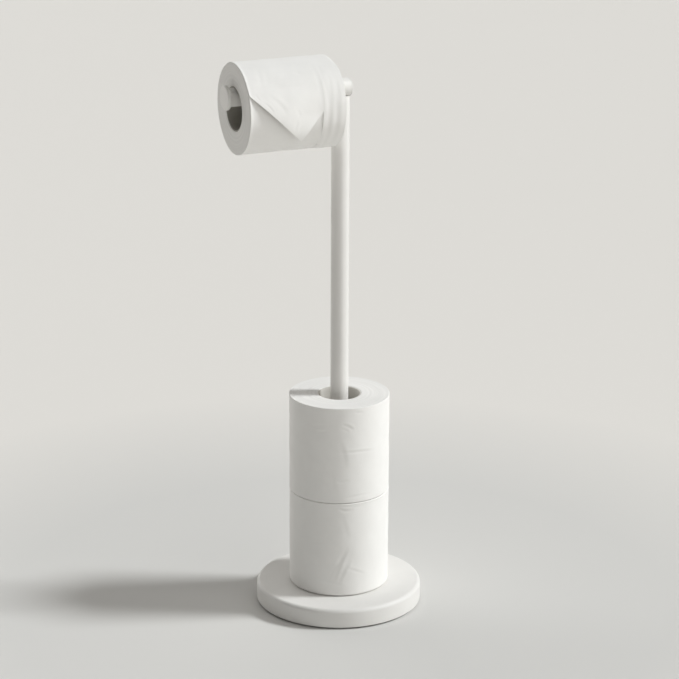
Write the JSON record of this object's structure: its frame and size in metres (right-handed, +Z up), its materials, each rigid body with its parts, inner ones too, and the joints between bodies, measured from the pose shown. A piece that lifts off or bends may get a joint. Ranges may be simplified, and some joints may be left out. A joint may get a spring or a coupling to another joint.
{
  "type": "freestanding toilet paper holder",
  "caption": "Freestanding toilet paper holder: round weighted base, upright tube for spare rolls, and a lift-off horizontal arm with an end cap that carries the roll in use.",
  "frame": {"origin": "centre of the foam pad's underside, on the floor under the axis of the upright", "axes": "+Z up along the upright; the arm points along -X; the front of the hanging roll faces -Y"},
  "size_m": [0.204, 0.167, 0.5672],
  "materials": {
    "white_paint": "matt white powder coat with a fine even grain",
    "base_foam": "dark closed-cell foam",
    "ballast_iron": "as cast",
    "zinc_steel": "zinc plated",
    "bush_nylon": "moulded",
    "tissue": "soft wound tissue with faint creases",
    "core_card": "spiral wound card"
  },
  "bodies": {
    "stand": {"base_pad": "base_foam", "base_cover": "white_paint", "base_weight": "ballast_iron", "base_plate": "zinc_steel", "base_plate_screw_1": "zinc_steel", "base_plate_screw_2": "zinc_steel", "base_plate_screw_3": "zinc_steel", "post_bolt": "zinc_steel", "post_bolt_spring_washer": "zinc_steel", "post_bolt_washer": "zinc_steel", "post_foot_insert": "zinc_steel", "post_tube": "white_paint", "post_top_bush": "bush_nylon"},
    "arm": {"arm_tube": "white_paint", "arm_rear_block": "white_paint", "arm_spigot": "zinc_steel", "arm_spigot_screw": "zinc_steel", "arm_front_plug": "zinc_steel", "arm_end_cap": "white_paint"},
    "hanging_roll": {"hanging_roll_core": "core_card", "hanging_roll_paper": "tissue", "hanging_roll_folded_sheet": "tissue"},
    "lower_roll": {"lower_roll_core": "core_card", "lower_roll_paper": "tissue"},
    "upper_roll": {"upper_roll_core": "core_card", "upper_roll_paper": "tissue"}
  },
  "joints": [
    {"name": "arm_lift", "type": "slide", "parent": "stand", "child": "arm", "axis": [0, 0, 1], "range_m": [0, 0.045]},
    {"name": "hanging_roll_turn", "type": "hinge", "parent": "arm", "child": "hanging_roll", "pos_m": [-0.0141, 0, 0.52215], "axis": [1, 0, 0], "continuous": true},
    {"name": "lower_roll_slide", "type": "slide", "parent": "stand", "child": "lower_roll", "axis": [0, 0, 1], "range_m": [0, 0.12]},
    {"name": "upper_roll_slide", "type": "slide", "parent": "lower_roll", "child": "upper_roll", "axis": [0, 0, 1], "range_m": [0, 0.12]}
  ]
}
